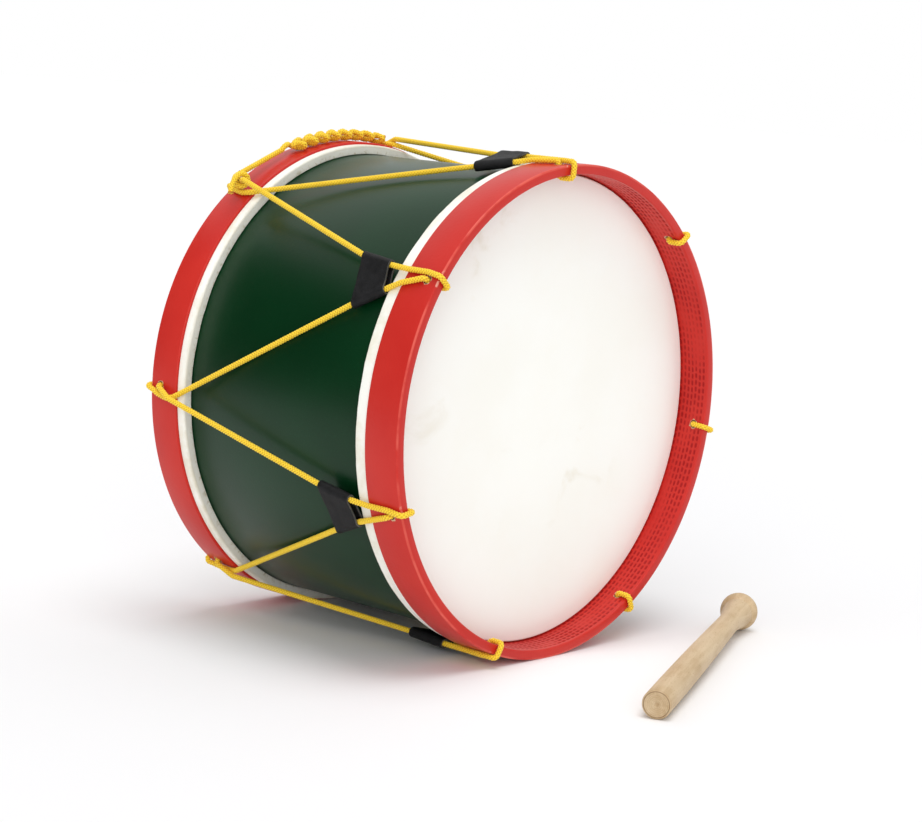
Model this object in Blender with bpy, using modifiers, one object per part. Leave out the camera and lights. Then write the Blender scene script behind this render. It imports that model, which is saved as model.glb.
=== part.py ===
"""A rope-tensioned drum lying on its side, with its turned wooden beater on the floor in front.

The drum is described standing on its own axis, +Z out through the front head, and the empty
drum_axis lays it down along world Y. The world origin is on the floor, under the middle of the
front counterhoop's width. All sizes are in metres and all angles in degrees.
"""

import math

import bmesh
import bpy
from mathutils import Matrix, Vector

# Hoops, shell and skins
HOOP_R = 0.175
HOOP_WALL = 0.0070
HOOP_WIDTH = 0.0290
REAR_HOOP_WIDTH = 0.0255
HOOP_ROUND = 0.0012
DRUM_LENGTH = 0.2392
HEAD_RECESS = 0.0243
SKIN = 0.0007
SHELL_R = 0.1662
SHELL_WALL = 0.005
FLESH_R = 0.1723
FLESH_HEIGHT = 0.0093
REAR_FLESH_HEIGHT = 0.0062
GAP = 0.0003
STEPS = 70

# Holes in the counterhoops: seven round each hoop, half a space apart from front to rear
HOLES = 7
HOLE_R = 0.003
HOLE_INSET = 0.0095
HOLE_SIDES = 12
FRONT_HOLE_ANGLE = 96.7
REAR_HOLE_ANGLE = 77.1
FRONT_DRILLED_OFF = (0.0, -1.3, 0.0, 0.0, 0.0, 0.0, 1.5)
REAR_DRILLED_OFF = (0.0, -0.5, 1.1, 0.0, 2.7, 0.0, 0.0)

# Rope
ROPE_R = 0.00195
ROPE_BEND = 0.003
BEND_STEPS = 3
LEAST_BEND = 14.0
EDGE_ROOM = 0.0023
PASS_S = 0.0045
CROSS_S = 0.0064
CROSS_RISE = 0.0044
CROSS_DEPTH = 0.0250
ROPE_JOINT_R = 0.1715

# Tugs: leather sleeves that pinch each V of the rope
TUG_FRONT = 0.0128
TUG_LENGTH = 0.027
TUG_FRONT_SPACING = 0.017
TUG_REAR_SPACING = 0.034
TUG_TIP_S = 0.0007
LEATHER = 0.0014
SLEEVE_ARC_STEPS = 5

# Chain of slip loops that shortens the spare rope, laid along the rear counterhoop
CHAIN_LINKS = 8
LINK_STEPS = 24
LINK_UNIT = 0.0040
LINK_PITCH = 3.0
LINK_LOWEST = -0.79
LINK_START = math.pi / 6
CHAIN_START_ANGLE = 112.0
CHAIN_DEPTH = 0.0125
LEAST_ROPE_GAP = 0.0004

# Knot on the second rear hole
KNOT_HOLE = 1
KNOT_LIFT = 0.0072
KNOT_TURNS = 2
KNOT_PITCH = 0.0046
KNOT_TURN_STEPS = 14
KNOT_START = 0.0052
KNOT_LEAD = 0.004
KNOT_TAIL_STEPS = 5
KNOT_TAIL_STEP = 0.003
KNOT_TAIL_DROP = 0.0075

# Beater
BEATER_END = Vector((-0.0657, -0.1581, 0.0))
BEATER_KNOB = Vector((0.1987, -0.0410, 0.0))
BEATER_END_R = 0.010
BEATER_NECK_R = 0.0082
BEATER_KNOB_R = 0.0144
BEATER_STEPS = 32

# Places that follow from the sizes above
FRONT = HOOP_WIDTH / 2
REAR = FRONT - DRUM_LENGTH
MIDDLE = (FRONT + REAR) / 2
HEAD_FACE = FRONT - HEAD_RECESS
SKIN_INNER_R = SHELL_R + GAP
SKIN_OUTER_R = FLESH_R + GAP + SKIN
RIDE = HOOP_R + GAP + ROPE_R
INSIDE = HOOP_R - HOOP_WALL - GAP - ROPE_R


def collection(name):
    group = bpy.data.collections.new(name)
    bpy.context.scene.collection.children.link(group)
    return group


def clear_scene():
    for obj in list(bpy.data.objects):
        bpy.data.objects.remove(obj, do_unlink=True)


def material(name, colour, roughness, metallic=0.0):
    result = bpy.data.materials.new(name)
    result.use_nodes = True
    shader = result.node_tree.nodes["Principled BSDF"]
    shader.inputs["Base Color"].default_value = (*colour, 1.0)
    shader.inputs["Roughness"].default_value = roughness
    shader.inputs["Metallic"].default_value = metallic
    return result


def polar(angle, radius, z):
    turn = math.radians(angle)
    return Vector((radius * math.cos(turn), radius * math.sin(turn), z))


def front_point(angle, s, depth, radius):
    """A point beside an angle by s along the hoop, a depth in from the front rim."""
    return polar(angle + math.degrees(s / HOOP_R), radius, FRONT - depth)


def rear_point(angle, s, depth, radius):
    return polar(angle + math.degrees(s / HOOP_R), radius, REAR + depth)


def front_hole(index):
    return FRONT_HOLE_ANGLE + index * 360.0 / HOLES + FRONT_DRILLED_OFF[index % HOLES]


def rear_hole(index):
    return REAR_HOLE_ANGLE + index * 360.0 / HOLES + REAR_DRILLED_OFF[index % HOLES]


def filleted(corners, radius, steps, closed=False):
    """A run of points whose corners are rounded by arcs, with steps to a quarter turn."""
    count = len(corners)
    result = []
    for index, corner in enumerate(corners):
        bend = radius[index] if isinstance(radius, (list, tuple)) else radius
        is_end = not closed and index in (0, count - 1)
        back = corners[index - 1] - corner
        ahead = corners[(index + 1) % count] - corner
        turn = math.pi - back.angle(ahead)
        if is_end or bend == 0 or turn < math.radians(LEAST_BEND):
            result.append(corner.copy())
            continue
        reach = min(bend * math.tan(turn / 2), 0.48 * back.length, 0.48 * ahead.length)
        arc_radius = reach / math.tan(turn / 2)
        inward = (back.normalized() + ahead.normalized()).normalized()
        centre = corner + inward * arc_radius / math.cos(turn / 2)
        first = (corner + back.normalized() * reach - centre).normalized()
        last = corner + ahead.normalized() * reach - centre
        across = (last - last.dot(first) * first).normalized()
        number = max(1, round(steps * turn / (math.pi / 2)))
        for step in range(number + 1):
            part = turn * step / number
            result.append(centre + arc_radius * (first * math.cos(part) + across * math.sin(part)))
    return result


def add_object(name, data, group, parent=None):
    obj = bpy.data.objects.new(name, data)
    group.objects.link(obj)
    obj.parent = parent
    return obj


def turned(name, profile, closed, group, parent, finish, steps=STEPS):
    """A profile of (radius, height), running down its outer side, turned round Z."""
    mesh = bpy.data.meshes.new(name)
    edges = [(index, index + 1) for index in range(len(profile) - 1)]
    if closed:
        edges.append((len(profile) - 1, 0))
    mesh.from_pydata([(point[0], 0.0, point[1]) for point in profile], edges, [])
    obj = add_object(name, mesh, group, parent)
    screw = obj.modifiers.new("turned", "SCREW")
    screw.steps = steps
    screw.render_steps = steps
    screw.use_merge_vertices = True
    screw.merge_threshold = 0.00001
    screw.use_smooth_shade = True
    mesh.materials.append(finish)
    return obj


def mirrored(profile):
    """The same profile at the drum's other end, still running down its outer side."""
    return [Vector((point[0], 2 * MIDDLE - point[1])) for point in reversed(profile)]


def counterhoop_profile(width):
    corners = [
        Vector((HOOP_R, FRONT)),
        Vector((HOOP_R, FRONT - width)),
        Vector((HOOP_R - HOOP_WALL, FRONT - width)),
        Vector((HOOP_R - HOOP_WALL, FRONT)),
    ]
    return filleted(corners, HOOP_ROUND, 2, closed=True)


def flesh_hoop_profile(hoop_width, height):
    inner = SKIN_INNER_R + SKIN + GAP
    top = FRONT - hoop_width - GAP
    return [
        Vector((FLESH_R, top)),
        Vector((FLESH_R, top - height)),
        Vector((inner, top - height)),
        Vector((inner, top)),
    ]


def head_profile(hoop_width, flesh_height):
    """A skin across the shell, down beside it, under the flesh hoop and up its outer face."""
    top = FRONT - hoop_width - GAP
    bottom = top - flesh_height - GAP - SKIN
    corners = [
        Vector((0.0, HEAD_FACE)),
        Vector((SKIN_INNER_R + SKIN, HEAD_FACE)),
        Vector((SKIN_INNER_R + SKIN, bottom + SKIN)),
        Vector((SKIN_OUTER_R - SKIN, bottom + SKIN)),
        Vector((SKIN_OUTER_R - SKIN, top)),
        Vector((SKIN_OUTER_R, top)),
        Vector((SKIN_OUTER_R, bottom)),
        Vector((SKIN_INNER_R, bottom)),
        Vector((SKIN_INNER_R, HEAD_FACE - SKIN)),
        Vector((0.0, HEAD_FACE - SKIN)),
    ]
    rounds = [0.0, SKIN * 0.8, 0.0, 0.0, 0.0, 0.0, SKIN * 0.8, 0.0, 0.0, 0.0]
    return filleted(corners, rounds, 1)


def shell_profile():
    top = HEAD_FACE - SKIN - GAP
    bottom = 2 * MIDDLE - top
    return [
        Vector((SHELL_R, top)),
        Vector((SHELL_R, bottom)),
        Vector((SHELL_R - SHELL_WALL, bottom)),
        Vector((SHELL_R - SHELL_WALL, top)),
    ]


def drill(hoop, name, angles, z, cutters):
    """Round holes through a hoop's wall, cut by one object of short rods."""
    rods = bmesh.new()
    length = 3 * HOOP_WALL
    for angle in angles:
        outward = polar(angle, 1.0, 0.0)
        place = Matrix.Translation(polar(angle, HOOP_R - HOOP_WALL / 2, z))
        aim = outward.to_track_quat("Z", "Y").to_matrix().to_4x4()
        bmesh.ops.create_cone(
            rods, cap_ends=True, segments=HOLE_SIDES, radius1=HOLE_R, radius2=HOLE_R,
            depth=length, matrix=place @ aim,
        )
    mesh = bpy.data.meshes.new(name)
    rods.to_mesh(mesh)
    rods.free()
    cutter = add_object(name, mesh, cutters, hoop.parent)
    cutter.hide_render = True
    cutter.display_type = "WIRE"
    cut = hoop.modifiers.new("holes", "BOOLEAN")
    cut.operation = "DIFFERENCE"
    cut.object = cutter


def rope(name, points, group, parent, finish, resolution=2):
    """A round rope along a run of points."""
    curve = bpy.data.curves.new(name, "CURVE")
    curve.dimensions = "3D"
    curve.bevel_depth = ROPE_R
    curve.bevel_resolution = resolution
    curve.use_fill_caps = True
    spline = curve.splines.new("POLY")
    spline.points.add(len(points) - 1)
    for slot, point in zip(spline.points, points):
        slot.co = (*point, 1.0)
    spline.use_smooth = True
    curve.materials.append(finish)
    return add_object(name, curve, group, parent)


def tug_frame(index):
    """Where a tug's V starts on the front hoop, and its directions along, beside and out."""
    tip = front_point(front_hole(index), TUG_TIP_S, HOOP_WIDTH, RIDE)
    first = rear_point(rear_hole(index), CROSS_S, REAR_HOOP_WIDTH, RIDE)
    last = rear_point(rear_hole(index + 1), CROSS_S, REAR_HOOP_WIDTH, RIDE)
    along = ((first + last) / 2 - tip).normalized()
    side = last - first
    side = (side - side.dot(along) * along).normalized()
    return tip, along, side, along.cross(side)


def sleeve_loop(sleeve, x, half_spacing, radius):
    """A ring of points round two strands that lie side by side."""
    points = []
    for half in (1, -1):
        for step in range(SLEEVE_ARC_STEPS + 1):
            turn = math.pi * (step / SLEEVE_ARC_STEPS - 0.5)
            y = half * (half_spacing + radius * math.cos(turn))
            points.append(sleeve.verts.new((x, y, half * radius * math.sin(turn))))
    return points


def tug(index, group, parent, finish):
    """A flat leather sleeve, narrow in front and wide behind, open at both mouths."""
    sleeve = bmesh.new()
    ends = ((-TUG_LENGTH / 2, TUG_FRONT_SPACING / 2), (TUG_LENGTH / 2, TUG_REAR_SPACING / 2))
    inner_r = ROPE_R + GAP
    loops = []
    for x, half_spacing in ends:
        loops.append(sleeve_loop(sleeve, x, half_spacing, inner_r + LEATHER))
        loops.append(sleeve_loop(sleeve, x, half_spacing, inner_r))
    outer_front, inner_front, outer_rear, inner_rear = loops
    pairs = (
        (outer_front, outer_rear),
        (outer_rear, inner_rear),
        (inner_rear, inner_front),
        (inner_front, outer_front),
    )
    for first, second in pairs:
        for place in range(len(first)):
            after = (place + 1) % len(first)
            sleeve.faces.new((first[place], first[after], second[after], second[place]))
    bmesh.ops.recalc_face_normals(sleeve, faces=sleeve.faces)
    name = f"tug_{index + 1}"
    mesh = bpy.data.meshes.new(name)
    sleeve.to_mesh(mesh)
    sleeve.free()
    mesh.shade_smooth()
    mesh.set_sharp_from_angle(angle=math.radians(50))
    mesh.materials.append(finish)
    obj = add_object(name, mesh, group, parent)
    tip, along, side, out = tug_frame(index)
    turn = Matrix((along, side, out)).transposed().to_4x4()
    centre = tip + along * (TUG_FRONT + TUG_LENGTH / 2)
    obj.matrix_local = Matrix.Translation(centre) @ turn
    return obj


def crossing_lift(index):
    """How far the strand that leaves a rear hole rides above the one it crosses."""
    return CROSS_RISE + (KNOT_LIFT if index % HOLES == KNOT_HOLE else 0.0)


def leaving_strand(index):
    """The strand out of a rear hole, up and over the strand that arrives there."""
    hole = rear_hole(index)
    lift = crossing_lift(index)
    start = GAP + (KNOT_LIFT * 0.5 if index % HOLES == KNOT_HOLE else 0.0)
    return [
        rear_point(hole, 0.0, HOLE_INSET, ROPE_JOINT_R + GAP / 2),
        rear_point(hole, 0.0, HOLE_INSET, RIDE + start),
        rear_point(hole, CROSS_S, CROSS_DEPTH, RIDE + lift),
    ]


def arriving_strand(index):
    """The strand that passes a rear hole, goes over the rear rim and back into the hole."""
    hole = rear_hole(index)
    return [
        rear_point(hole, CROSS_S, CROSS_DEPTH, RIDE),
        rear_point(hole, 0.0076, 0.0175, RIDE),
        rear_point(hole, 0.0058, 0.0095, RIDE),
        rear_point(hole, 0.0034, 0.0040, RIDE),
        rear_point(hole, 0.0014, -EDGE_ROOM, RIDE),
        rear_point(hole, 0.0003, -EDGE_ROOM, INSIDE),
        rear_point(hole, 0.0, HOLE_INSET, INSIDE),
        rear_point(hole, 0.0, HOLE_INSET, ROPE_JOINT_R - GAP / 2),
    ]


def front_loop(index):
    """Over the front rim beside the hole, in, out through the hole, and back to the tug."""
    hole = front_hole(index)
    return [
        front_point(hole, -PASS_S - 0.0002, HOOP_WIDTH - 0.001, RIDE),
        front_point(hole, -PASS_S, HOLE_INSET, RIDE),
        front_point(hole, -0.0027, -EDGE_ROOM, RIDE),
        front_point(hole, -0.0008, -EDGE_ROOM, INSIDE),
        front_point(hole, 0.0, HOLE_INSET, INSIDE),
        front_point(hole, 0.0, HOLE_INSET, RIDE + GAP),
        front_point(hole, 0.0059, HOOP_WIDTH - 0.001, RIDE),
    ]


def stay_route(index):
    """One V of the rope: rear hole, tug, front loop, tug, and the next rear hole."""
    tip, along, side, _ = tug_frame(index)
    front_mouth = tip + along * TUG_FRONT
    rear_mouth = tip + along * (TUG_FRONT + TUG_LENGTH)
    corners = leaving_strand(index)
    corners.append(rear_mouth - side * TUG_REAR_SPACING / 2)
    corners.append(front_mouth - side * TUG_FRONT_SPACING / 2)
    corners += front_loop(index)
    corners.append(front_mouth + side * TUG_FRONT_SPACING / 2)
    corners.append(rear_mouth + side * TUG_REAR_SPACING / 2)
    corners += arriving_strand(index + 1)
    return filleted(corners, ROPE_BEND, BEND_STEPS)


def stitch(turn):
    """A chain stitch as a sum of waves, in rope diameters: along, across and up."""
    along = LINK_PITCH * turn / (2 * math.pi) - 1.43 * math.cos(turn)
    across = 0.6 * math.sin(2 * turn) - 1.24 * math.sin(turn) - 0.3 * math.sin(3 * turn)
    up = 0.33 * math.cos(turn) - 0.4 * math.cos(2 * turn) - 0.06 * math.cos(4 * turn)
    return along, across, up


def on_chain(along, across, up):
    """A place in rope diameters along, across and above the chain, bent round the hoop."""
    base = HOOP_R + GAP + ROPE_R - LINK_LOWEST * LINK_UNIT
    angle = CHAIN_START_ANGLE - math.degrees(along * LINK_UNIT / base)
    return polar(angle, base + up * LINK_UNIT, REAR + CHAIN_DEPTH + across * LINK_UNIT)


def chain_approach():
    """Where the plain strand from the knot comes down to the first link."""
    return on_chain(-3.2, 0.3, -0.7)


def chain_route():
    """The plain strand from the knot, the links, and the end tucked against the last hole."""
    knot_start = knot_route()[0]
    links = []
    for step in range(CHAIN_LINKS * LINK_STEPS + 1):
        links.append(on_chain(*stitch(2 * math.pi * step / LINK_STEPS + LINK_START)))
    approach = chain_approach()
    from_knot = knot_start + (approach - knot_start).normalized() * GAP
    end = CHAIN_LINKS * LINK_PITCH
    before = filleted([from_knot, approach, links[0]], 3 * ROPE_BEND, BEND_STEPS)
    tuck = rear_point(rear_hole(0), 0.0068, 0.0135, RIDE + 0.0046)
    after = filleted([links[-1], on_chain(end + 0.6, -0.1, 0.4), tuck], ROPE_BEND, BEND_STEPS)
    return before[:-1] + links + after[1:]


def least_gap(points):
    """The least room between a rope and itself, leaving out what is near along the rope."""
    lengths = [0.0]
    for before, after in zip(points, points[1:]):
        lengths.append(lengths[-1] + (after - before).length)
    least = 1.0
    for first in range(len(points)):
        for second in range(first + 1, len(points)):
            if lengths[second] - lengths[first] > 2.2 * LINK_UNIT:
                least = min(least, (points[first] - points[second]).length)
    return least - 2 * ROPE_R


def knot_route():
    """Turns round the strand that leaves the knot's hole, and a short cut tail."""
    points = leaving_strand(KNOT_HOLE)
    start, end = points[1], points[2]
    axis = (end - start).normalized()
    out = (start.xy.normalized().to_3d() - axis * axis.dot(start.xy.normalized().to_3d())).normalized()
    beside = axis.cross(out)
    turn_r = 2 * ROPE_R + LEAST_ROPE_GAP
    first = start + axis * KNOT_START
    route = []
    for step in range(KNOT_TURNS * KNOT_TURN_STEPS + 1):
        turn = 2 * math.pi * step / KNOT_TURN_STEPS
        centre = first + axis * KNOT_PITCH * step / KNOT_TURN_STEPS
        route.append(centre + turn_r * (out * math.cos(turn) + beside * math.sin(turn)))
    route.insert(0, route[0] + (chain_approach() - route[0]).normalized() * KNOT_LEAD)
    heading = (beside + axis * 0.5).normalized()
    last = route[-1]
    for step in range(1, KNOT_TAIL_STEPS + 1):
        drop = KNOT_TAIL_DROP * (step / KNOT_TAIL_STEPS) ** 2
        route.append(last + heading * KNOT_TAIL_STEP * step - out * drop)
    return route


def beater_profile(length):
    """Handle, narrow neck and round knob, from the knob's crown down to the flat end."""
    points = []
    top = length
    centre = length - BEATER_KNOB_R * 0.72
    for step in range(9):
        turn = math.radians(90 - step * 16)
        points.append((BEATER_KNOB_R * math.cos(turn), centre + BEATER_KNOB_R * 0.72 * math.sin(turn)))
    points[0] = (0.0, top)
    neck = length * 0.80
    shoulder = points[-1][1]
    for step in range(1, 6):
        part = step / 5
        ease = part * part * (3 - 2 * part)
        radius = points[8][0] + (BEATER_NECK_R - points[8][0]) * math.sin(ease * math.pi / 2)
        points.append((radius, shoulder + (neck - shoulder) * part))
    points.append(((BEATER_NECK_R + BEATER_END_R) / 2, length * 0.45))
    points.append((BEATER_END_R, length * 0.15))
    points.append((BEATER_END_R, 0.0012))
    points.append((BEATER_END_R - 0.0012, 0.0))
    points.append((0.0, 0.0))
    return points


def beater(group, finish):
    """The beater lies on its knob and on the edge of its handle's end."""
    run = BEATER_KNOB - BEATER_END
    length = run.length + 0.72 * BEATER_KNOB_R
    obj = turned("beater", beater_profile(length), False, group, None, finish, BEATER_STEPS)
    end = Vector((BEATER_END.x, BEATER_END.y, BEATER_END_R))
    knob = Vector((BEATER_KNOB.x, BEATER_KNOB.y, BEATER_KNOB_R))
    obj.location = end
    obj.rotation_euler = (knob - end).to_track_quat("Z", "Y").to_euler()
    return obj


def build():
    clear_scene()
    parts = collection("tom_tom")
    cutters = collection("cutters")
    lacquer = material("red_lacquer", (0.60, 0.035, 0.025), 0.35)
    green = material("green_shell", (0.005, 0.07, 0.03), 0.4)
    skin = material("skin", (0.93, 0.91, 0.86), 0.6)
    bare_wood = material("bare_wood", (0.72, 0.55, 0.34), 0.6)
    leather = material("black_leather", (0.016, 0.016, 0.018), 0.6)
    yellow = material("yellow_rope", (0.93, 0.58, 0.03), 0.75)
    beech = material("beech", (0.68, 0.49, 0.27), 0.55)

    axis = add_object("drum_axis", None, parts)
    axis.location = (0.0, 0.0, HOOP_R * math.cos(math.pi / STEPS))
    axis.rotation_euler = (math.radians(90), 0.0, 0.0)

    turned("shell", shell_profile(), True, parts, axis, green)
    for side, width, height in (
        ("front", HOOP_WIDTH, FLESH_HEIGHT), ("rear", REAR_HOOP_WIDTH, REAR_FLESH_HEIGHT),
    ):
        turn = mirrored if side == "rear" else list
        head = turn(head_profile(width, height))
        turned(f"{side}_head", head, False, parts, axis, skin)
        flesh_hoop = turn(flesh_hoop_profile(width, height))
        turned(f"{side}_flesh_hoop", flesh_hoop, True, parts, axis, bare_wood)
    front = counterhoop_profile(HOOP_WIDTH)
    front_hoop = turned("front_counterhoop", front, True, parts, axis, lacquer)
    rear = mirrored(counterhoop_profile(REAR_HOOP_WIDTH))
    rear_hoop = turned("rear_counterhoop", rear, True, parts, axis, lacquer)
    front_angles = [front_hole(index) for index in range(HOLES)]
    rear_angles = [rear_hole(index) for index in range(HOLES)]
    drill(front_hoop, "front_holes", front_angles, FRONT - HOLE_INSET, cutters)
    drill(rear_hoop, "rear_holes", rear_angles, REAR + HOLE_INSET, cutters)

    for index in range(HOLES):
        tug(index, parts, axis, leather)
        rope(f"rope_stay_{index + 1}", stay_route(index), parts, axis, yellow)

    chain = chain_route()
    rope("rope_chain", chain, parts, axis, yellow, 1)
    print("least gap in the chain, mm:", round(1000 * least_gap(chain), 2))
    knot = knot_route()
    rope("rope_knot", knot, parts, axis, yellow, 1)
    print("least gap in the knot, mm:", round(1000 * least_gap(knot), 2))
    beater(parts, beech)


build()
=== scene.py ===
# %% [markdown]
# # A rope-tensioned tom-tom with its beater
#
# The drum is a bent wooden shell with a skin on each end. A red hoop presses on each skin, and one
# yellow rope zigzags between the two hoops. Leather tugs slide along the rope to pull it tight.
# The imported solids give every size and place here, so each step below only makes a piece look
# like the real one, and then says which solid it stands for.

# %% Load the solids
from math import atan2, cos, degrees, hypot, pi, radians, sin, tan

import bpy
import numpy as np
from mathutils import Matrix, Vector, noise


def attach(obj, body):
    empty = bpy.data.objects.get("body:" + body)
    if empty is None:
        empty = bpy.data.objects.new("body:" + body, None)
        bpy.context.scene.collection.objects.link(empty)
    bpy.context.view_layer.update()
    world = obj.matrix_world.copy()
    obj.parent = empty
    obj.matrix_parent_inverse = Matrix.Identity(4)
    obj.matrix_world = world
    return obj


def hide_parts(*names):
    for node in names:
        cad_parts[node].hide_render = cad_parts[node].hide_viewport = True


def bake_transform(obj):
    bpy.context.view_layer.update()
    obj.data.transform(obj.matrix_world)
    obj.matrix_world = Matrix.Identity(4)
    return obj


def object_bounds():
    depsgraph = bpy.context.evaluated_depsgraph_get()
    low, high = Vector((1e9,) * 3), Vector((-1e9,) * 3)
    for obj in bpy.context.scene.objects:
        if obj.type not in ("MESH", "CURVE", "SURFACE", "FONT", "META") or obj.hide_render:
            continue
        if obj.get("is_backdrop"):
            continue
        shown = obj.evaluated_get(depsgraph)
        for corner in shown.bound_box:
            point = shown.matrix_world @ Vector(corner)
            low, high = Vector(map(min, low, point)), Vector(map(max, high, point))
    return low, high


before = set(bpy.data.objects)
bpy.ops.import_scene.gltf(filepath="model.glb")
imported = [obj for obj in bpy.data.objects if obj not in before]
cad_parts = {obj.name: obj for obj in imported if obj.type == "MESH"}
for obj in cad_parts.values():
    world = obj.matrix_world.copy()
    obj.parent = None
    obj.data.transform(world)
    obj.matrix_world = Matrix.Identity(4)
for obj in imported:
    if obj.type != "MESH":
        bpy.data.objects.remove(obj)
solids_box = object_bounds()


def show_box(label, box):
    low, high = ([round(v, 4) for v in corner] for corner in box)
    print(label, "from", low, "to", high)


show_box("solids", solids_box)

# %% [markdown]
# ## The sizes that the solids were made with
#
# The drum's measures are kept here once, in metres. They are those of a drum that stands on its
# rear hoop, with height zero in the middle of the front hoop's width, because round pieces are
# easiest to think of that way. `in_place` lays such a point down with the real drum.

# %% Sizes of the drum
HOOP_R = 0.175
HOOP_WALL = 0.0070
HOOP_INNER_R = HOOP_R - HOOP_WALL
HOOP_WIDTH = 0.0290
REAR_HOOP_WIDTH = 0.0255
HOOP_ROUND = 0.0008
DRUM_LENGTH = 0.2392
SHELL_R = 0.1662
SHELL_WALL = 0.005
FLESH_R = 0.1723
FLESH_HEIGHT = 0.0093
REAR_FLESH_HEIGHT = 0.0062
SKIN = 0.0007
GAP = 0.0003
HEAD_RECESS = 0.0243
SOLID_HOOP_SIDES = 70
AXIS_Z = HOOP_R * cos(pi / SOLID_HOOP_SIDES)
FRONT = HOOP_WIDTH / 2
REAR = FRONT - DRUM_LENGTH
MIDDLE = (FRONT + REAR) / 2
HEAD_FACE = FRONT - HEAD_RECESS

# %% [markdown]
# ## Where the rope holes are
#
# Each hoop has seven holes, and the rear ones stand half a space round from the front ones. A
# few are drilled a degree or so off their even places, as on the real drum.

# %% Rope holes and places on the drum
HOLES = 7
HOLE_R = 0.003
HOLE_INSET = 0.0095
FRONT_OFF = (0, -1.3, 0, 0, 0, 0, 1.5)
REAR_OFF = (0, -0.5, 1.1, 0, 2.7, 0, 0)


def hole_angles(first, off):
    return [first + k * 360 / HOLES + off[k] for k in range(HOLES)]


def in_place(point):
    """A point on the standing drum, at its place on the drum that lies on the floor."""
    return Vector((point[0], -point[2], AXIS_Z + point[1]))


def polar(angle, radius, height):
    turn = radians(angle)
    return Vector((radius * cos(turn), radius * sin(turn), height))


FRONT_ANGLES = hole_angles(96.7, FRONT_OFF)
REAR_ANGLES = hole_angles(77.1, REAR_OFF)
print("front holes at", [round(angle, 1) for angle in FRONT_ANGLES])

# %% [markdown]
# ## Camera
#
# The camera stands to the left of the drum and a little above its axis. A constraint could aim it
# at the drum, but not give it the slight lean of a camera held by hand. So it is aimed by its own
# three axes, worked out from how far it turns, dips and leans.

# %% Camera
YAW, DIP, LEAN = radians(49.245), radians(8.010), radians(4.335)
CAMERA_PLACE = Vector((-1.2388, -0.9835, 0.3929))
LENS = 88.44
scene = bpy.context.scene


def add_object(name, data):
    """Puts a mesh, curve, lamp or camera into the scene."""
    made = bpy.data.objects.new(name, data)
    scene.collection.objects.link(made)
    return made


ahead = Vector((sin(YAW) * cos(DIP), cos(YAW) * cos(DIP), -sin(DIP)))
level = Vector((cos(YAW), -sin(YAW), 0))
right = Matrix.Rotation(-LEAN, 3, ahead) @ level
above = right.cross(ahead)
camera = add_object("camera", bpy.data.cameras.new("camera"))
camera.data.lens = LENS
aim = Matrix((right, above, -ahead)).transposed().to_4x4()
camera.matrix_world = Matrix.Translation(CAMERA_PLACE) @ aim
scene.camera = camera
scene.view_settings.view_transform = "Standard"
print("camera looks along", [round(v, 3) for v in ahead])

# %% [markdown]
# ## Writing materials as sums
#
# A material here is a sum on paper: position in, colour out. It could be wired node by node, but
# forty lines of links hide the thought. The class below holds one socket of the node tree, and
# its plus, minus and times add Math nodes, so a pattern reads as a formula. Every other node
# comes from its `node` method.


# %% Sockets with arithmetic
class Wire:
    tree = None

    def __init__(self, socket):
        self.socket = socket

    @classmethod
    def node(cls, kind, settings=None, inputs=None, output=0):
        made = cls.tree.nodes.new(kind)
        for key, value in (settings or {}).items():
            setattr(made, key, value)
        for key, value in (inputs or {}).items():
            if isinstance(value, Wire):
                cls.tree.links.new(value.socket, made.inputs[key])
            else:
                made.inputs[key].default_value = value
        return cls(made.outputs[output])

    def math(self, operation, *others):
        inputs = dict(enumerate((self, *others)))
        return Wire.node("ShaderNodeMath", {"operation": operation}, inputs)

    def __add__(self, other): return self.math("ADD", other)
    def __radd__(self, other): return self.math("ADD", other)
    def __sub__(self, other): return self.math("SUBTRACT", other)
    def __rsub__(self, other): return Wire.math(other, "SUBTRACT", self)
    def __mul__(self, other): return self.math("MULTIPLY", other)
    def __rmul__(self, other): return self.math("MULTIPLY", other)

    def ramp(self, low, high):
        """0 below low and 1 above high, smooth in between; swap the two to turn it round."""
        inputs = {"Value": self, "From Min": low, "From Max": high}
        return Wire.node("ShaderNodeMapRange", {"interpolation_type": "SMOOTHSTEP"}, inputs)


# %% [markdown]
# ## Places, patterns and colours
#
# Every pattern starts from the place on the object. Noise gives clouds and grain, and a mask
# such as `distance.ramp(...)` keeps a mark where it belongs. Each material is begun, its pattern
# is worked out, and `coat` feeds the result to the surface.

# %% Places and patterns
def object_place():
    return Wire.node("ShaderNodeTexCoord", None, None, "Object")


def axes_of(place):
    split = Wire.node("ShaderNodeSeparateXYZ", None, {0: place}).socket.node
    return [Wire(split.outputs[k]) for k in range(3)]


def attribute(name):
    """A number that the mesh carries on its points."""
    return Wire.node("ShaderNodeAttribute", {"attribute_name": name}, None, "Fac")


def vectors(operation, first, second=None, output=0):
    inputs = {0: first} if second is None else {0: first, 1: second}
    return Wire.node("ShaderNodeVectorMath", {"operation": operation}, inputs, output)


def third_side(first, second):
    """The long side of a right-angled triangle, from its two others."""
    return (first * first + second * second).math("SQRT")


def noise_at(place, scale, detail=3.0, roughness=0.5, distortion=0.0):
    inputs = {"Vector": place, "Scale": scale, "Detail": detail}
    inputs.update({"Roughness": roughness, "Distortion": distortion})
    return Wire.node("ShaderNodeTexNoise", None, inputs)


def bumps(height, strength, distance):
    inputs = {"Strength": strength, "Distance": distance, "Height": height}
    return Wire.node("ShaderNodeBump", None, inputs)


# %% Colours
def srgb(red, green, blue):
    """A colour as a picture shows it, 0 to 255, in the linear values that shaders use."""
    def one(value):
        return value / 12.92 if value <= 0.04045 else ((value + 0.055) / 1.055) ** 2.4
    return (one(red / 255), one(green / 255), one(blue / 255), 1.0)


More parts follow.
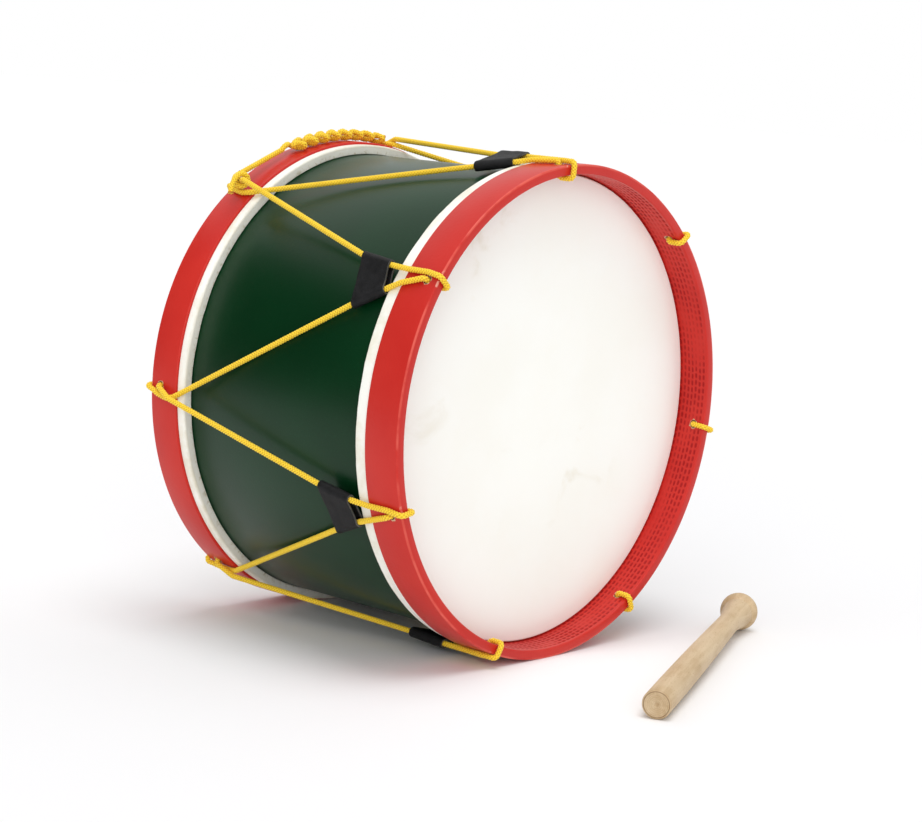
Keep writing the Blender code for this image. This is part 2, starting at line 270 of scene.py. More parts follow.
def mix(share, first, second):
    inputs = {0: share, 6: first, 7: second}
    return Wire.node("ShaderNodeMix", {"data_type": "RGBA"}, inputs, 2)


# %% Begin and coat
def begin(name):
    """A new material, whose node tree takes the wires that follow."""
    material = bpy.data.materials.new(name)
    material.use_nodes = True
    Wire.tree = material.node_tree
    return material


def coat(material, **sockets):
    """Feeds the material's surface shader; a plain value is set on its socket."""
    nodes = material.node_tree.nodes
    for name, value in sockets.items():
        slot = nodes["Principled BSDF"].inputs[name.replace("_", " ")]
        if isinstance(value, Wire):
            Wire.tree.links.new(value.socket, slot)
        else:
            slot.default_value = value
    print(material.name, "has", len(nodes), "nodes")
    return material


# %% [markdown]
# ## Small helpers for modelling
#
# Blender's operators act on whatever is selected, so every step begins by selecting one piece or
# nothing. `settle` writes an object's place into its mesh, because the solids keep theirs there.

# %% Modelling helpers
SHARP = 0.6
SMOOTH_BELOW = radians(50)


def select_none():
    bpy.ops.object.select_all(action="DESELECT")


def select_only(piece):
    select_none()
    bpy.context.view_layer.objects.active = piece
    piece.select_set(True)


def named(name):
    piece = bpy.context.object
    piece.name = name
    piece.data.name = name
    return piece


def settle(piece):
    select_only(piece)
    bpy.ops.object.transform_apply(location=True, rotation=True, scale=True)


def smooth(piece):
    select_only(piece)
    bpy.ops.object.shade_smooth_by_angle(angle=SMOOTH_BELOW)


def apply_modifier(piece, kind, **settings):
    modifier = piece.modifiers.new(kind.lower(), kind)
    for key, value in settings.items():
        setattr(modifier, key, value)
    select_only(piece)
    bpy.ops.object.modifier_apply(modifier=modifier.name)


def round_edges(piece, width, segments, angle=SHARP):
    """Rounds the edges that turn by more than the angle, in radians."""
    apply_modifier(
        piece, "BEVEL", width=width, segments=segments, limit_method="ANGLE", angle_limit=angle,
    )


# %% [markdown]
# ## Edit mode and points
#
# In edit mode a hand would click on edges. Here `pick` selects those that pass a test of their
# place. Where every point has to move by a formula, the points are read and written all at once.

# %% Edit mode and points
def leave():
    bpy.ops.object.mode_set(mode="OBJECT")


def pick(piece, kind, test):
    """Goes into edit mode with only the vertices or edges selected that pass a test."""
    select_only(piece)
    bpy.ops.object.mode_set(mode="EDIT")
    bpy.ops.mesh.select_mode(type=kind)
    bpy.ops.mesh.select_all(action="DESELECT")
    leave()
    parts = piece.data.vertices if kind == "VERT" else piece.data.edges
    parts.foreach_set("select", [bool(test(part)) for part in parts])
    bpy.ops.object.mode_set(mode="EDIT")


def pick_all(piece):
    pick(piece, "VERT", lambda vertex: True)


def points_of(piece):
    places = np.zeros(len(piece.data.vertices) * 3)
    piece.data.vertices.foreach_get("co", places)
    return places.reshape(-1, 3)


def move_points(piece, places):
    piece.data.vertices.foreach_set("co", places.ravel())
    piece.data.update()


def mark_points(piece, name, values):
    """Keeps a number on every point, which a material can read by its name."""
    made = piece.data.attributes.new(name, "FLOAT", "POINT")
    made.data.foreach_set("value", values.astype(np.float32))


def dress(piece, body, slot, materials, *nodes):
    """Gives a piece its finish and its body, and hides the solids it stands for; slot is not used.
    """
    for material in materials:
        piece.data.materials.append(material)
    if body:
        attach(piece, body)
    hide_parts(*nodes)
    print(piece.name, len(piece.data.polygons), "faces")


# %% [markdown]
# ## Red lacquer
#
# Each counterhoop is bent beech under a thick satin lacquer. The lacquer is even, with a faint
# cloud in its colour and a fine orange peel. A paler line along its outer edge is a painted
# highlight on that corner. It has chipped to bare wood round the drilled holes, and where the rope
# goes over the rim its pale marks are partly chipped paint and partly a painted highlight. A
# painted picture could show that, but here the material works out the distance to each hole's
# own axis, so it stays right when a hole moves. A pair such as BARE_AT holds the distances, in
# metres, where a mark starts and where it is full.

# %% Lacquer colours and marks
LACQUER_REDS = srgb(194, 34, 26), srgb(202, 42, 32)
# The slot red is painted shade in the slots' hollows.
SLOT_SHADE_RED = srgb(158, 12, 12)
# The edge red is a painted highlight along the outer corner.
EDGE_HIGHLIGHT_RED = srgb(236, 112, 96)
# The chip pale is partly chipped paint and partly a painted highlight on the corner.
CHIP_AND_HIGHLIGHT_PALE = srgb(232, 172, 154)
BARE_WOOD = srgb(206, 178, 146)
BARE_AT = 0.0037, 0.0031
BARE_RAGGED = 0.0034
WRAP_BESIDE = 0.0015
CHIP_AT = 0.0085, 0.0046
RIM_AT = 0.0013, 0.0004
OUTER_AT = HOOP_R - 0.0019, HOOP_R - 0.0007
OTHER_SIDE = 0.05, 0.0


def least(wires):
    result = wires[0]
    for wire in wires[1:]:
        result = result.math("MINIMUM", wire)
    return result


# %% Lacquer material
def lacquer(name, angles, hole_y, rim_y):
    material = begin(name)
    place = object_place()
    x, y, z = axes_of(place)
    z = z - AXIS_Z
    from_holes, from_wraps = [], []
    for angle in angles:
        turn = radians(angle)
        beside = x * -sin(turn) + z * cos(turn)
        behind = (x * cos(turn) + z * sin(turn)).ramp(*OTHER_SIDE)
        from_holes.append(third_side(y - hole_y, beside) + behind)
        from_wraps.append((beside + WRAP_BESIDE).math("ABSOLUTE") + behind)
    fine = noise_at(place, 420, 2)
    bare = (least(from_holes) + (fine - 0.5) * BARE_RAGGED).ramp(*BARE_AT)
    near_rim = (y - rim_y).math("ABSOLUTE").ramp(*RIM_AT)
    corner = third_side(x, z).ramp(*OUTER_AT) * near_rim
    # Pale marks beside the rope wraps: partly chipped paint, partly a painted highlight on the
    # corner.
    chips_and_highlight = least(from_wraps).ramp(*CHIP_AT) * corner * noise_at(place, 190, 2).ramp(0.5, 0.56)
    # Painted highlight: a paler line along the outer corner by the rim, broken by noise.
    painted_edge_highlight = corner * noise_at(place, 45, 3).ramp(0.36, 0.6)
    sunk = attribute("slot")
    cloud = noise_at(place, 18, 3)
    plain = mix(cloud.ramp(0.3, 0.7), *LACQUER_REDS)
    # Painted shade: the lacquer is darker where it lies deep in a slot.
    body = mix(sunk.ramp(0.1, 0.9), plain, SLOT_SHADE_RED)
    highlighted = mix(painted_edge_highlight * 0.55, body, EDGE_HIGHLIGHT_RED)
    worn = mix(bare, highlighted, BARE_WOOD)
    height = fine * 0.7 + noise_at(place, 900, 1) * 0.3 - bare * 0.6
    return coat(
        material, Base_Color=mix(chips_and_highlight * 0.8, worn, CHIP_AND_HIGHLIGHT_PALE),
        Roughness=0.34 + bare * 0.4 + sunk * 0.4 + cloud * 0.06,
        Normal=bumps(height, 0.35, 0.0003), Specular_IOR_Level=0.3,
    )


FRONT_Y, REAR_Y = -FRONT, -REAR
front_lacquer = lacquer("front_red_lacquer", FRONT_ANGLES, FRONT_Y + HOLE_INSET, FRONT_Y)
rear_lacquer = lacquer("rear_red_lacquer", REAR_ANGLES, REAR_Y - HOLE_INSET, REAR_Y)

# %% [markdown]
# ## A strip of wood bent round
#
# The hoops and the shell are all flat strips bent into a ring. A ring could be spun from a
# profile, but a cylinder with no ends is what the maker has: Solidify gives it the wood's
# thickness, inwards, and Bevel rounds the long edges that a maker sands.

# %% Bent strip
HOOP_STEPS = 1476


def open_tube(name, steps, radius, depth, place, turned):
    """A cylinder with no ends."""
    select_none()
    bpy.ops.mesh.primitive_cylinder_add(
        vertices=steps, radius=radius, depth=depth, end_fill_type="NOTHING",
        location=place, rotation=turned,
    )
    piece = named(name)
    settle(piece)
    return piece


def bent_strip(name, steps, radius, width, middle, wall):
    piece = open_tube(name, steps, radius, width, (0, middle, AXIS_Z), (pi / 2, 0, 0))
    apply_modifier(piece, "SOLIDIFY", thickness=wall, offset=-1)
    return piece


# %% [markdown]
# ## Pricked slots
#
# The real hoop's inner face is pricked all over with short slots that let the thick strip bend.
# A bump in the material would vanish at a slant, where the eye sees them best, so they are
# modelled: the inner wall is divided finely and its points are pushed into the wood. Each point
# also keeps how deep it lies in a slot, and the lacquer there is painted darker, which is painted
# shade in the slots.

# %% Pricked slots
INNER_ROWS = 33
SLOT_PITCH = 0.0052
SLOT_LENGTH = 0.0048
SLOT_ROW = 0.0034
SLOT_WIDTH = 0.0023
SLOT_DEPTH = 0.00032
SLOT_MARGIN = 0.0022
SLOT_FLAT = 1.15
SLOT_END_MARGIN = 0.002
ROW_SHIFT, ROW_WAVE = 0.12, 2.3
ON_WALL = 0.0001
RUNG_LENGTH = 0.01


def is_inner_rung(piece):
    """A test for edges that run straight across the inner wall."""
    places = points_of(piece)
    near = np.hypot(places[:, 0], places[:, 2] - AXIS_Z) < HOOP_INNER_R + ON_WALL

    def test(edge):
        a, b = edge.vertices
        return near[a] and near[b] and abs(places[a][1] - places[b][1]) > RUNG_LENGTH
    return test


def hollow(offset, pitch, size):
    """1 in a slot's middle and 0 outside it, along one of its two directions."""
    return np.clip(SLOT_FLAT - (offset * pitch * 2 / size) ** 2, 0, 1)


def prick_slots(piece, rim, inward, width):
    """Pushes short slots into the inner wall, in rows that begin behind the rim."""
    places = points_of(piece)
    flat = places[:, [0, 2]] - np.array([0, AXIS_Z])
    radius = np.hypot(flat[:, 0], flat[:, 1])
    angle = np.arctan2(flat[:, 1], flat[:, 0])
    depth = (places[:, 1] - rim) * inward
    row = np.floor((depth - SLOT_MARGIN) / SLOT_ROW)
    across = (depth - SLOT_MARGIN) / SLOT_ROW - row - 0.5
    around = round(2 * pi * HOOP_INNER_R / SLOT_PITCH)
    along = angle / (2 * pi) * around + ROW_SHIFT * np.sin(row * ROW_WAVE)
    along = along - np.floor(along) - 0.5
    shape = hollow(along, SLOT_PITCH, SLOT_LENGTH) * hollow(across, SLOT_ROW, SLOT_WIDTH)
    shape *= (row >= 0) & (depth < width - SLOT_END_MARGIN) & (radius < HOOP_INNER_R + ON_WALL)
    # Some slots are pricked less deeply than others.
    for k in np.nonzero(shape > 0)[0]:
        spot = Vector((angle[k] * 6, depth[k] * 90, rim * 40))
        shape[k] *= min(1.0, max(0.35, 0.8 + 0.9 * noise.noise(spot)))
    grow = 1 + shape * SLOT_DEPTH / radius
    places[:, 0] = flat[:, 0] * grow
    places[:, 2] = flat[:, 1] * grow + AXIS_Z
    move_points(piece, places)
    mark_points(piece, "slot", shape)


# %% [markdown]
# ## Counterhoops
#
# The holes are cut last, through the finished wall. All seven rods are one object, so that one
# Boolean cuts them, which is quicker and cleaner than seven in a row.

# %% Counterhoops
HOLE_SIDES = 28


def cut_holes(piece, angles, hole_y):
    rods = []
    for angle in angles:
        turn = radians(angle)
        out = Vector((cos(turn), 0, sin(turn)))
        select_none()
        bpy.ops.mesh.primitive_cylinder_add(
            vertices=HOLE_SIDES, radius=HOLE_R, depth=3 * HOOP_WALL,
            location=Vector((0, hole_y, AXIS_Z)) + out * (HOOP_R - HOOP_WALL / 2),
            rotation=out.to_track_quat("Z", "Y").to_euler(),
        )
        rods.append(bpy.context.object)
    for rod in rods:
        rod.select_set(True)
    bpy.ops.object.join()
    drill = bpy.context.object
    apply_modifier(piece, "BOOLEAN", operation="DIFFERENCE", object=drill, solver="EXACT")
    bpy.data.objects.remove(drill)


def counterhoop(name, width, rim, inward, angles, finish, node):
    """rim is the place of the outer edge along Y, and inward the direction from it to the shell."""
    piece = bent_strip(name, HOOP_STEPS, HOOP_R, width, rim + inward * width / 2, HOOP_WALL)
    round_edges(piece, HOOP_ROUND, 3)
    pick(piece, "EDGE", is_inner_rung(piece))
    bpy.ops.mesh.subdivide_edgering(number_cuts=INNER_ROWS, interpolation="LINEAR")
    leave()
    prick_slots(piece, rim, inward, width)
    cut_holes(piece, angles, rim + inward * HOLE_INSET)
    smooth(piece)
    dress(piece, "drum", "red_lacquer", [finish], node)


counterhoop(
    "front_hoop", HOOP_WIDTH, FRONT_Y, 1, FRONT_ANGLES, front_lacquer, "front_counterhoop")
counterhoop(
    "rear_hoop", REAR_HOOP_WIDTH, REAR_Y, -1, REAR_ANGLES, rear_lacquer, "rear_counterhoop")

# %% [markdown]
# ## Green shell
#
# The shell is thin ply bent into a tube and sprayed a satin bottle green. It is a bent strip like
# the hoops, only wider and thinner, so the same helper makes it. The spray is not quite even and
# holds specks of dust. Its fine peel is too small to model, so it is a bump.

# %% Shell
SHELL_STEPS = 288
SHELL_ROUND = 0.0005
SHELL_FRONT = HEAD_FACE - SKIN - GAP
SHELL_GREENS = srgb(0, 43, 17), srgb(1, 51, 22)
DUST_GREEN = srgb(30, 88, 58)


def shell_green():
    material = begin("green_satin")
    place = object_place()
    dust = noise_at(place, 1500, 1)
    tone = mix(noise_at(place, 9, 2).ramp(0.3, 0.7), *SHELL_GREENS)
    return coat(
        material, Base_Color=mix(dust.ramp(0.62, 0.8) * 0.3, tone, DUST_GREEN),
        Roughness=0.30 + dust * 0.08, Normal=bumps(noise_at(place, 520, 2), 0.2, 0.0002),
        Specular_IOR_Level=0.29,
    )


shell_length = 2 * (SHELL_FRONT - MIDDLE)
shell = bent_strip("green_shell", SHELL_STEPS, SHELL_R, shell_length, -MIDDLE, SHELL_WALL)
round_edges(shell, SHELL_ROUND, 2)
smooth(shell)
dress(shell, "drum", "green_shell", [shell_green()], "shell")
print("shell length, metres:", round(shell_length, 4))

# %% [markdown]
# ## Skin finish
#
# A skin is soaked, laid over the shell's end and tucked round a wooden flesh hoop. When it dries
# it is as tight as a board. The struck face is clean and chalky with a few faint blots. The
# tucked part shows between the red hoop and the shell as a cream band, yellowed by hands on its
# outside and soiled along its cut edge. Those marks follow the distance from the drum's axis,
# with pairs as for the lacquer, and from the face.

# %% Skin material
SKIN_TONES = srgb(253, 254, 249), srgb(246, 244, 234)
BLOT = srgb(222, 214, 190)
BAND_DIRT = srgb(196, 186, 158)
BAND_SOIL = srgb(184, 172, 132)
BAND_AGED = srgb(230, 223, 200)
EDGE_RAGGED = 0.0045
DIRT_FROM = 0.1655, 0.1672
SOIL_FROM = 0.1655, 0.1665
SOIL_TO = 0.1712, 0.1675
HANDLED_FROM = 0.1705, 0.1722


def skin_paint(name, face_y, inward, fold):
    """inward is 1 where the drum lies behind the skin along Y; fold is how far the fold reaches."""
    material = begin(name)
    place = object_place()
    x, y, z = axes_of(place)
    radius = third_side(x, z - AXIS_Z)
    depth = (y - face_y) * inward
    cloud = noise_at(place, 11, 4, 0.55)
    stain = noise_at(place, 23, 5, 0.6, 0.6)
    tone = mix(cloud.ramp(0.35, 0.65) * 0.35, *SKIN_TONES)
    blot = stain.ramp(0.56, 0.74) * noise_at(place, 7, 1).ramp(0.46, 0.6) * 0.42
    handling = noise_at(place, 34, 4, 0.65).ramp(0.4, 0.68) * 0.6 + 0.15
    handled = radius.ramp(*HANDLED_FROM) * handling
    soil = noise_at(place, 260, 4, 0.65, 0.5).ramp(0.5, 0.66) * radius.ramp(*SOIL_FROM)
    soil = soil * radius.ramp(*SOIL_TO) * depth.ramp(fold - 0.0022, fold - 0.0010)
    ragged = depth + (noise_at(place, 150, 4, 0.6) - 0.5) * EDGE_RAGGED
    dirt = radius.ramp(*DIRT_FROM) * ragged.ramp(fold - 0.0021, fold - 0.0003)
    aged = mix(handled, mix(blot, tone, BLOT), BAND_AGED)
    soiled = mix(soil * 0.6, aged, BAND_SOIL)
    height = cloud * 0.6 + noise_at(place, 700, 2) * 0.25 + stain * 0.3
    return coat(
        material, Base_Color=mix(dirt * 0.3, soiled, BAND_DIRT),
        Roughness=0.58 + cloud * 0.12, Normal=bumps(height, 0.3, 0.0006),
        Specular_IOR_Level=0.35,
    )


# %% [markdown]
# ## Turned pieces and rounded corners
#
# The skins and the beater are round about one axis. Stacked cylinders would leave hard rings, so
# a profile is drawn as a line of points and spun a full turn, as on a lathe. The last copy meets
# the first, so doubled points are merged, and the faces are then turned to look outwards.
# `rounded` puts arcs in place of a line's corners, and the rope below uses it too.

# %% Spin a profile round an axis
DOUBLED = 0.000005


def spun(name, profile, steps, centre, axis, out):
    """profile is (radius, distance along the axis) pairs, set off from the centre along out."""
    mesh = bpy.data.meshes.new(name)
    centre, axis, out = Vector(centre), Vector(axis).normalized(), Vector(out).normalized()
    points = [centre + out * radius + axis * along for radius, along in profile]
    mesh.from_pydata(points, [(k, k + 1) for k in range(len(points) - 1)], [])
    piece = add_object(name, mesh)
    pick_all(piece)
    bpy.ops.mesh.spin(steps=steps, angle=2 * pi, center=centre, axis=axis)
    bpy.ops.mesh.select_all(action="SELECT")
    bpy.ops.mesh.remove_doubles(threshold=DOUBLED)
    bpy.ops.mesh.normals_make_consistent(inside=False)
    leave()
    return piece


# %% Round the corners of a line
STRAIGHT = 0.02
LONGEST_REACH = 0.48


def rounded(corners, radii, steps):
    """The same run of corners with arcs in place of the sharp ones; steps to a quarter turn."""
    result = [corners[0].copy()]
    for k in range(1, len(corners) - 1):
        corner = corners[k]
        radius = radii[k] if isinstance(radii, list) else radii
        back, on = corners[k - 1] - corner, corners[k + 1] - corner
        turn = pi - back.angle(on)
        if radius == 0 or turn < STRAIGHT:
            result.append(corner.copy())
            continue
        longest = LONGEST_REACH * back.length, LONGEST_REACH * on.length
        reach = min(radius * tan(turn / 2), *longest)
        arc = reach / tan(turn / 2)
        inside = (back.normalized() + on.normalized()).normalized()
        middle = corner + inside * arc / cos(turn / 2)
        first = (corner + back.normalized() * reach - middle).normalized()
        last = corner + on.normalized() * reach - middle
        across = (last - last.dot(first) * first).normalized()
        number = max(1, round(steps * turn / (pi / 2)))
        for step in range(number + 1):
            part = turn * step / number
            result.append(middle + arc * (first * cos(part) + across * sin(part)))
    return result + [corners[-1].copy()]


# %% [markdown]
# ## Skins
#
# The profile runs from the middle of the skin over the shell's edge, down, back up round the
# flesh hoop, and the same way back as the skin's other side. The skin was trimmed by eye, so its
# lower edge is rippled a little by noise after the spin.

# %% Skin shape
SKIN_STEPS = 256
SKIN_FLAT_R = 0.155
SKIN_IN = SHELL_R + GAP
SKIN_OUT = FLESH_R + GAP + SKIN
BAND_ROUND = 0.0016
FOLD_EDGE = 0.0013
FOLD_RIPPLE = 0.0004


def skin_profile(hoop_width, flesh_height):
    """Each corner is its distance from the axis, its height and the radius that rounds it."""
    top = FRONT - hoop_width - GAP
    bottom = top - flesh_height - GAP - SKIN
    under_face = HEAD_FACE - SKIN
    corners = [
        (0.0, HEAD_FACE, 0), (SKIN_FLAT_R, HEAD_FACE, 0), (SKIN_IN + SKIN, HEAD_FACE, 0.0011),
        (SKIN_IN + SKIN, bottom + SKIN, 0.0006),
        (SKIN_OUT - SKIN, bottom + SKIN, BAND_ROUND - SKIN),
        (SKIN_OUT - SKIN, top, 0), (SKIN_OUT, top, 0.0002), (SKIN_OUT, bottom, BAND_ROUND),
        (SKIN_IN, bottom, 0.0007), (SKIN_IN, under_face, 0.0006),
        (SKIN_FLAT_R, under_face, 0), (0.0, under_face, 0),
    ]
    line = [Vector((radius, height, 0)) for radius, height, _ in corners]
    return [(point[0], point[1]) for point in rounded(line, [c[2] for c in corners], 6)]


def ripple_edge(piece, face_y, inward, fold):
    places = points_of(piece)
    for number, (x, y, z) in enumerate(places):
        if (y - face_y) * inward > fold - FOLD_EDGE and hypot(x, z - AXIS_Z) > SHELL_R:
            spot = Vector((x, y * 0.2, z))
            ripple = noise.noise(spot * 60) + 0.5 * noise.noise(spot * 210)
            places[number][1] += inward * FOLD_RIPPLE * (ripple - 0.3)
    move_points(piece, places)


def skin_head(name, inward, hoop_width, flesh_height, node):
    """inward is 1 for the front skin and -1 for the rear one, whose profile is turned round."""
    profile = skin_profile(hoop_width, flesh_height)
    face_y = -HEAD_FACE
    if inward < 0:
        profile = [(radius, 2 * MIDDLE - height) for radius, height in profile]
        face_y = HEAD_FACE - 2 * MIDDLE
    heights = [height for _, height in profile]
    fold = max(heights) - min(heights)
    piece = spun(name, profile, SKIN_STEPS, (0, 0, AXIS_Z), (0, -1, 0), (1, 0, 0))
    ripple_edge(piece, face_y, inward, fold)
    smooth(piece)
    paint = skin_paint(name + "_skin", face_y, inward, fold)
    dress(piece, "drum", "skin", [paint], node)


skin_head("front_skin", 1, HOOP_WIDTH, FLESH_HEIGHT, "front_head")
skin_head("rear_skin", -1, REAR_HOOP_WIDTH, REAR_FLESH_HEIGHT, "rear_head")

# %% [markdown]
# ## Flesh hoops
#
# The two rings inside the tucked skin are bare wood. Nobody sees them on the finished drum, so
# their solids stay as they are and only get a wood finish.

# %% Bare wood on the hidden rings
def bare_wood():
    material = begin("bare_wood")
    grain = noise_at(object_place(), 130, 4, 0.6, 0.4)
    return coat(
        material, Base_Color=mix(grain, srgb(190, 156, 112), srgb(222, 194, 152)),
        Roughness=0.7, Normal=bumps(grain, 0.2, 0.0003),
    )


wood = bare_wood()
for node in ("front_flesh_hoop", "rear_flesh_hoop"):
    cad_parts[node].data.materials.clear()
    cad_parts[node].data.materials.append(wood)

# %% [markdown]
# ## Rope finish
#
# The rope is dyed yellow. The gaps between the strands are painted a deeper ochre, which is
# painted shade in the braid's hollows, and loose fibres catch a soft pale sheen on their crowns.
# The mesh tells the material how high each point lies in the braid, in its `lay` attribute, so
# that colour and shape can't slip apart.

# %% Rope material
# The gap ochre is painted shade in the braid's hollows.
GAP_SHADE_OCHRE = srgb(188, 98, 0)
CROWN_YELLOW = srgb(255, 220, 48)
ROPE_SOIL = srgb(168, 126, 40)
FIBRE_PALE = srgb(255, 236, 120)


def rope_yellow():
    material = begin("yellow_braid")
    place = object_place()
    lay = attribute("lay")
    fibre = noise_at(place, 2600, 2)
    # Painted shade: the braid's gaps are darker ochre and its crowns bright yellow.
    tone = mix(lay.ramp(0.1, 0.85), GAP_SHADE_OCHRE, CROWN_YELLOW)
    soiled = mix(noise_at(place, 60, 3).ramp(0.58, 0.78) * 0.12, tone, ROPE_SOIL)
    return coat(
        material, Base_Color=mix(fibre.ramp(0.45, 0.8) * 0.25, soiled, FIBRE_PALE),
        Roughness=0.62, Normal=bumps(fibre + lay, 0.35, 0.00025),
        Sheen_Weight=0.25, Sheen_Roughness=0.4, Specular_IOR_Level=0.3,
    )


yellow = rope_yellow()

# %% [markdown]
# ## Braided rope
#
# The rope is a round braid of eight strands, four turning each way, and each strand goes over
# one and under one of the others. Eight separate strands would be millions of faces. Instead its
# line is a curve with a round bevel, made into a mesh, and the braid is worked out on that mesh:
# every point knows how far it is round and along the rope, so it knows which strand is on top
# there, and is lifted or lowered by a fraction of a millimetre.

# %% Braid pattern
ROPE_R = 0.00195
ROPE_SIDES = 24
ROPE_STEP = 0.0005
STRANDS_EACH_WAY = 4
BRAID_PITCH = 0.0022
BRAID_RELIEF = 0.00052
BRAID_LEVEL = 0.6


def even_points(points):
    """The same line with its points an even step apart, and its length."""
    line = np.array([tuple(point) for point in points])
    lengths = np.concatenate([[0], np.cumsum(np.linalg.norm(np.diff(line, axis=0), axis=1))])
    count = max(2, round(lengths[-1] / ROPE_STEP) + 1)
    wanted = np.linspace(0, lengths[-1], count)
    return np.stack([np.interp(wanted, lengths, line[:, k]) for k in range(3)], 1), lengths[-1]


def braid_height(around, along):
    """-1 in the gaps between strands and 1 on a strand's crown."""
    first = STRANDS_EACH_WAY * around + along / BRAID_PITCH
    second = -STRANDS_EACH_WAY * around + along / BRAID_PITCH
    i, j = np.round(first), np.round(second)
    over = 0.42 * np.cos(np.pi * (second + i)) - 1.6 * (first - i) ** 2
    under = -0.42 * np.cos(np.pi * (first + j)) - 1.6 * (second - j) ** 2
    return np.clip(np.maximum(over, under) * 2.4, -1, 1)


# %% Rope along a line
rope_metres = []


def round_cord(name, line):
    curve = bpy.data.curves.new(name, "CURVE")
    curve.dimensions = "3D"
    curve.bevel_depth = ROPE_R
    curve.bevel_resolution = (ROPE_SIDES - 4) // 2
    curve.use_fill_caps = True
    spline = curve.splines.new("POLY")
    spline.points.add(len(line) - 1)
    spline.points.foreach_set("co", np.c_[line, np.ones(len(line))].ravel())
    select_only(add_object(name, curve))
    bpy.ops.object.convert(target="MESH")
    return bpy.context.object


def braided(name, points):
    line, length = even_points(points)
    piece = round_cord(name, line)
    places = points_of(piece)
    count = len(line) * ROPE_SIDES
    rings = places[:count].reshape(len(line), ROPE_SIDES, 3)
    middle = rings.mean(1, keepdims=True)
    out = rings - middle
    out /= np.linalg.norm(out, axis=2, keepdims=True)
    around = np.arange(ROPE_SIDES)[None, :] / ROPE_SIDES
    along = np.arange(len(line))[:, None] * length / (len(line) - 1)
    height = braid_height(around, along)
    rings = middle + out * (ROPE_R + BRAID_RELIEF * (height - BRAID_LEVEL))[..., None]
    places[:count] = rings.reshape(-1, 3)
    move_points(piece, places)
    lay = np.zeros(len(places))
    lay[:count] = (0.5 + 0.5 * height).ravel()
    mark_points(piece, "lay", lay)
    select_only(piece)
    bpy.ops.object.shade_smooth()
    rope_metres.append(length)
    return piece


# %% [markdown]
# ## Where the rope and the tugs run
#
# A place on the rope is easiest to give from its hole: how far round the hoop from the hole, how
# far in from the hoop's outer edge, and how far from the drum's axis. Each tug sits behind the
# front hoop, midway between its two strands.

# %% Places along one V
RIDE = HOOP_R + GAP + ROPE_R
INSIDE = HOOP_INNER_R - GAP - ROPE_R
EDGE_ROOM = 0.0023
ROPE_JOINT_R = 0.1715
CROSS_S = 0.0064
CROSS_RISE = 0.0044
CROSS_DEPTH = 0.0250
V_TIP_S = 0.0007


def front_point(angle, s, depth, radius):
    """s is the distance round the hoop from a front hole, and depth from the hoop's outer edge."""
    return polar(angle + degrees(s / HOOP_R), radius, FRONT - depth)


def rear_point(angle, s, depth, radius):
    return polar(angle + degrees(s / HOOP_R), radius, REAR + depth)


def rear_angle(k):
    return REAR_ANGLES[k % HOLES] + (360 if k >= HOLES else 0)


def tug_frame(k):
    """Where a V starts on the front hoop, and its directions along, beside and out."""
    tip = front_point(FRONT_ANGLES[k], V_TIP_S, HOOP_WIDTH, RIDE)
    first = rear_point(rear_angle(k), CROSS_S, REAR_HOOP_WIDTH, RIDE)
    last = rear_point(rear_angle(k + 1), CROSS_S, REAR_HOOP_WIDTH, RIDE)
    along = ((first + last) / 2 - tip).normalized()
    side = last - first
    side = (side - side.dot(along) * along).normalized()
    return tip, along, side, along.cross(side)


# %% [markdown]
# ## The strands at the hoops
#
# A strand arrives at the rear hoop, goes over its rim and comes out through the hole from inside.
# The next strand leaves from there and crosses over it, which locks both. At the front hoop the
# rope goes over the rim beside the hole, and out through the hole. Each list below is those
# places in turn, as distances round, in and from the axis.

# %% Strands at the hoops
PASS_S = 0.0045
KNOT_HOLE = 1
KNOT_LIFT = 0.0072


def leaving_strand(k):
    """Out of a rear hole, up and over the strand that arrives there; the knot lifts its own."""
    hole = rear_angle(k)
    lift = KNOT_LIFT if k % HOLES == KNOT_HOLE else 0
    return [
        rear_point(hole, 0.0, HOLE_INSET, ROPE_JOINT_R + GAP / 2),
        rear_point(hole, 0.0, HOLE_INSET, RIDE + GAP + lift / 2),
        rear_point(hole, CROSS_S, CROSS_DEPTH, RIDE + CROSS_RISE + lift),
    ]


def arriving_strand(k):
    """Past a rear hole, over the rear rim and back into the hole from inside."""
    hole = rear_angle(k)
    stations = [
        (CROSS_S, CROSS_DEPTH, RIDE), (0.0076, 0.0175, RIDE), (0.0058, 0.0095, RIDE),
        (0.0034, 0.0040, RIDE), (0.0014, -EDGE_ROOM, RIDE), (0.0003, -EDGE_ROOM, INSIDE),
        (0.0, HOLE_INSET, INSIDE), (0.0, HOLE_INSET, ROPE_JOINT_R - GAP / 2),
    ]
    return [rear_point(hole, *station) for station in stations]


def front_loop(k):
    """Over the front rim beside the hole, in, and out through the hole."""
    behind = HOOP_WIDTH - 0.001
    stations = [
        (-PASS_S - 0.0002, behind, RIDE), (-PASS_S, HOLE_INSET, RIDE),
        (-0.0027, -EDGE_ROOM, RIDE), (-0.0008, -EDGE_ROOM, INSIDE), (0.0, HOLE_INSET, INSIDE),
        (0.0, HOLE_INSET, RIDE + GAP), (0.0059, behind, RIDE),
    ]
    return [front_point(FRONT_ANGLES[k], *station) for station in stations]


# %% [markdown]
# ## The lacing
#
# Each V leaves a rear hole, runs through a tug to the front hoop and its loop, back through the
# tug, and round the next rear hole. When a tug slides back, the V closes. One stiff piece could
# not do that, so a V is three pieces: the loop at the front hoop and two legs behind the tug.
# Their ends meet inside the leather.

# %% Lace the drum
ROPE_BEND = 0.003
BEND_STEPS = 10
TUG_FRONT = 0.0128
TUG_LENGTH = 0.027
TUG_FRONT_SPACING = 0.017
TUG_REAR_SPACING = 0.034
MEET = 0.6
MEET_GAP = 0.0002
LOOP_FIXED = 0.004
LEG_FIXED = 0.002


def lay_rope(name, corners):
    line = rounded([in_place(corner) for corner in corners], ROPE_BEND, BEND_STEPS)
    return braided(name, line)


